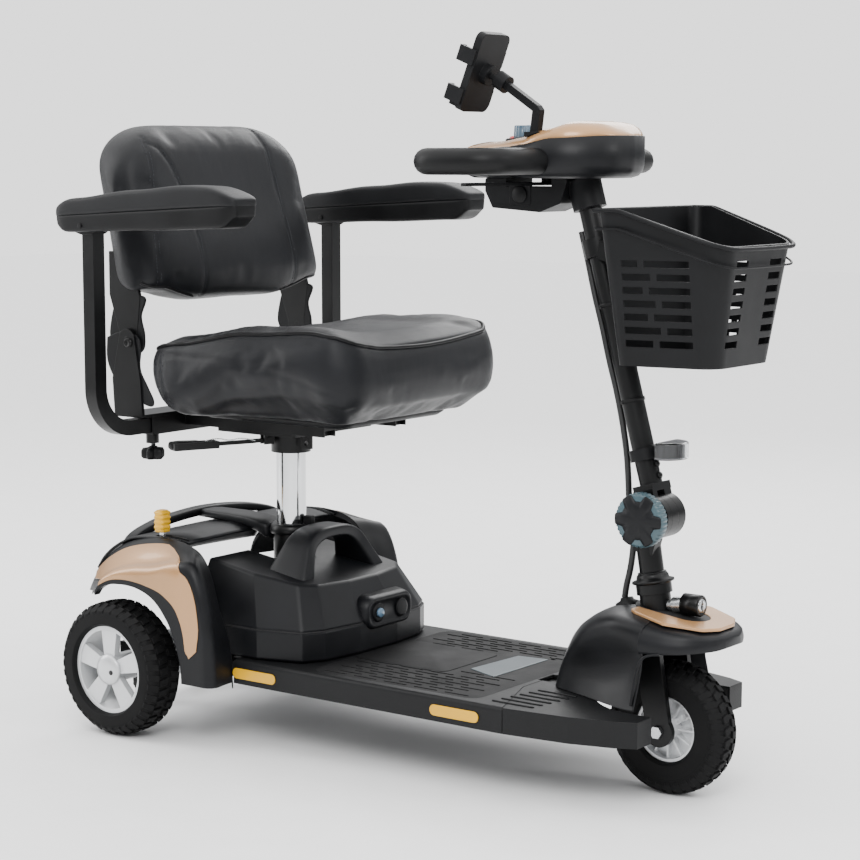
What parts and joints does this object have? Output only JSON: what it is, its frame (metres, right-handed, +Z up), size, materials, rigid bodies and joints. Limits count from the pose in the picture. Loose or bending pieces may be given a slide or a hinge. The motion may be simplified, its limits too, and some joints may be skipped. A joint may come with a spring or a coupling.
{
  "type": "mobility scooter",
  "caption": "Three-wheeled travel mobility scooter with captain's seat, armrests, folding tiller, loop handlebar, basket and lift-off battery.",
  "frame": {"origin": "on the ground, under the centre of the overall box", "axes": "+X forward, +Y to the rider's left, +Z up"},
  "size_m": [1.2092, 0.676, 1.1567],
  "materials": {
    "seat_vinyl": "grained black vinyl over foam",
    "armrest_pad": "soft black self-skinned pad",
    "black_frame": "satin black powder coat",
    "post_chrome": "bright chrome",
    "shaft_steel": "turned steel",
    "drive_casting": "cast gearbox and axle tubes",
    "motor_can": "black enamel",
    "black_plastic": "fine textured moulding",
    "battery_plastic": "satin charcoal moulding",
    "cells": "sealed battery blocks",
    "mat_rubber": "ribbed matt rubber",
    "grip_rubber": "smooth foam rubber",
    "beige_trim": "glossy champagne",
    "yellow_plastic": "yellow moulding",
    "red_plastic": "red dome",
    "dial_plastic": "blue-grey dial",
    "throttle_plastic": "black paddle",
    "knob_plastic": "black star knob",
    "fold_knob_plastic": "grey-teal serrated rim with a black face",
    "lens": "clear ribbed",
    "lock_metal": "bright barrel face in a black sleeve",
    "tyre_rubber": "solid knobby tyre",
    "wheel_rim": "silver white moulding",
    "caster_wheel": "small grey rubber rollers",
    "cable_sheath": "black sheathed cables"
  },
  "bodies": {
    "chassis": {"rear_frame": "black_frame", "seat_post": "post_chrome", "transaxle": "drive_casting", "drive_motor": "motor_can", "deck_pan": "black_plastic", "front_deck": "black_plastic", "deck_mat": "mat_rubber", "front_frame": "black_frame", "head_bearings": "shaft_steel", "steering_lock": "lock_metal", "front_shroud": "black_plastic", "trim_panels": "beige_trim", "rear_shroud": "black_plastic"},
    "rear_wheel_left": {"rear_tyre_left": "tyre_rubber", "rear_rim_left": "wheel_rim", "rear_axle_shaft_left": "shaft_steel"},
    "rear_wheel_right": {"rear_tyre_right": "tyre_rubber", "rear_rim_right": "wheel_rim", "rear_axle_shaft_right": "shaft_steel"},
    "anti_tip": {"anti_tip_wheels": "caster_wheel"},
    "steering": {"front_fork": "black_frame", "front_axle_bolt": "shaft_steel", "tiller_hinge_base": "black_frame", "harness_lower": "cable_sheath"},
    "front_wheel": {"front_tyre": "tyre_rubber", "front_rim": "wheel_rim"},
    "fold_knob": {"fold_knob": "fold_knob_plastic"},
    "tiller": {"tiller_tube": "black_frame", "headlamp_body": "black_plastic", "headlamp_lens": "lens", "harness_upper": "cable_sheath", "handlebar_grip": "grip_rubber", "console_body": "black_plastic", "console_cover": "beige_trim", "console_port_box": "black_plastic", "phone_arm": "black_plastic", "basket_bracket": "black_frame"},
    "horn_button": {"horn_button": "red_plastic"},
    "speed_dial": {"speed_dial": "dial_plastic"},
    "throttle_lever": {"throttle_lever": "throttle_plastic"},
    "phone_cradle": {"phone_cradle": "black_plastic"},
    "basket": {"basket": "black_plastic"},
    "freewheel_lever": {"freewheel_lever": "yellow_plastic"},
    "battery": {"battery_case": "battery_plastic", "battery_lid": "battery_plastic", "battery_cells": "cells"},
    "port_flap": {"port_flap": "black_plastic"},
    "seat_base": {"seat_base": "black_frame"},
    "swivel_lever": {"swivel_lever": "black_frame"},
    "seat": {"seat_frame": "black_frame", "seat_pan": "black_plastic", "seat_cushion": "seat_vinyl"},
    "backrest": {"backrest_cushion": "seat_vinyl", "backrest_brackets": "black_frame"},
    "armrest_frame_left": {"armrest_frame_left": "black_frame"},
    "armrest_frame_right": {"armrest_frame_right": "black_frame"},
    "armrest_left": {"armrest_left": "armrest_pad"},
    "armrest_right": {"armrest_right": "armrest_pad"},
    "armrest_knob_left": {"armrest_knob_left": "knob_plastic"},
    "armrest_knob_right": {"armrest_knob_right": "knob_plastic"}
  },
  "joints": [
    {"name": "rear_wheel_left_spin", "type": "hinge", "parent": "chassis", "child": "rear_wheel_left", "pos_m": [-0.4605, 0.252, 0.1143], "axis": [0, 1, 0], "continuous": true},
    {"name": "rear_wheel_right_spin", "type": "hinge", "parent": "chassis", "child": "rear_wheel_right", "pos_m": [-0.4605, -0.252, 0.1143], "axis": [0, 1, 0], "continuous": true},
    {"name": "anti_tip_spin", "type": "hinge", "parent": "chassis", "child": "anti_tip", "pos_m": [-0.5785, 0, 0.038], "axis": [0, 1, 0], "continuous": true},
    {"name": "steering", "type": "hinge", "parent": "chassis", "child": "steering", "pos_m": [0.4665, 0, 0.104], "axis": [-0.1668, 0, 0.986], "range_deg": [-45, 45]},
    {"name": "front_wheel_spin", "type": "hinge", "parent": "steering", "child": "front_wheel", "pos_m": [0.4665, 0, 0.104], "axis": [0, 1, 0], "continuous": true},
    {"name": "tiller_fold", "type": "hinge", "parent": "steering", "child": "tiller", "pos_m": [0.4365, 0, 0.427], "axis": [0, -1, 0], "range_deg": [-5, 18], "deforming": ["harness_lower"]},
    {"name": "fold_knob_turn", "type": "hinge", "parent": "steering", "child": "fold_knob", "pos_m": [0.4365, 0, 0.427], "axis": [0, 1, 0], "range_deg": [0, 720]},
    {"name": "basket_lift", "type": "slide", "parent": "tiller", "child": "basket", "axis": [0, 0, 1], "range_m": [0, 0.06]},
    {"name": "throttle_swing", "type": "hinge", "parent": "tiller", "child": "throttle_lever", "pos_m": [0.2295, 0, 0.936], "axis": [0, 0, 1], "range_deg": [-12, 12], "stiffness_Nm_per_rad": 0.6},
    {"name": "horn_press", "type": "slide", "parent": "tiller", "child": "horn_button", "axis": [0, 0, -1], "range_m": [0, 0.0018], "stiffness_N_per_m": 300},
    {"name": "speed_dial_turn", "type": "hinge", "parent": "tiller", "child": "speed_dial", "pos_m": [0.1915, -0.006, 1], "axis": [0, 0, 1], "range_deg": [-135, 135]},
    {"name": "phone_cradle_tilt", "type": "hinge", "parent": "tiller", "child": "phone_cradle", "pos_m": [0.2035, -0.086, 1.082], "axis": [0, 1, 0], "range_deg": [-10, 10]},
    {"name": "seat_swivel", "type": "hinge", "parent": "chassis", "child": "seat_base", "pos_m": [-0.2945, 0, 0.5], "axis": [0, 0, 1], "continuous": true},
    {"name": "swivel_lever_lift", "type": "hinge", "parent": "seat_base", "child": "swivel_lever", "pos_m": [-0.3085, -0.046, 0.494], "axis": [-0.9223, 0.3864, 0], "range_deg": [0, 8], "stiffness_Nm_per_rad": 2},
    {"name": "seat_slide", "type": "slide", "parent": "seat_base", "child": "seat", "axis": [1, 0, 0], "range_m": [-0.04, 0.04]},
    {"name": "backrest_fold", "type": "hinge", "parent": "seat", "child": "backrest", "pos_m": [-0.4605, 0, 0.666], "axis": [0, 1, 0], "range_deg": [0, 40]},
    {"name": "armrest_width_left", "type": "slide", "parent": "seat", "child": "armrest_frame_left", "axis": [0, 1, 0], "range_m": [0, 0.06]},
    {"name": "armrest_flip_left", "type": "hinge", "parent": "armrest_frame_left", "child": "armrest_left", "pos_m": [-0.4535, 0.305, 0.858], "axis": [0, -1, 0], "range_deg": [0, 90]},
    {"name": "armrest_knob_turn_left", "type": "hinge", "parent": "seat", "child": "armrest_knob_left", "pos_m": [-0.4535, 0.174, 0.47], "axis": [0, 0, 1], "range_deg": [0, 720]},
    {"name": "armrest_width_right", "type": "slide", "parent": "seat", "child": "armrest_frame_right", "axis": [0, -1, 0], "range_m": [0, 0.06]},
    {"name": "armrest_flip_right", "type": "hinge", "parent": "armrest_frame_right", "child": "armrest_right", "pos_m": [-0.4535, -0.305, 0.858], "axis": [0, -1, 0], "range_deg": [0, 90]},
    {"name": "armrest_knob_turn_right", "type": "hinge", "parent": "seat", "child": "armrest_knob_right", "pos_m": [-0.4535, -0.174, 0.47], "axis": [0, 0, 1], "range_deg": [0, 720]},
    {"name": "freewheel_turn", "type": "hinge", "parent": "chassis", "child": "freewheel_lever", "pos_m": [-0.4185, -0.19, 0.296], "axis": [0, 1, 0], "range_deg": [0, 26]},
    {"name": "battery_lift", "type": "slide", "parent": "chassis", "child": "battery", "axis": [0, 0, 1], "range_m": [0, 0.06]},
    {"name": "port_flap_turn", "type": "hinge", "parent": "battery", "child": "port_flap", "pos_m": [-0.0968, 0.024, 0.211], "axis": [0, 0, -1], "range_deg": [0, 100]}
  ]
}
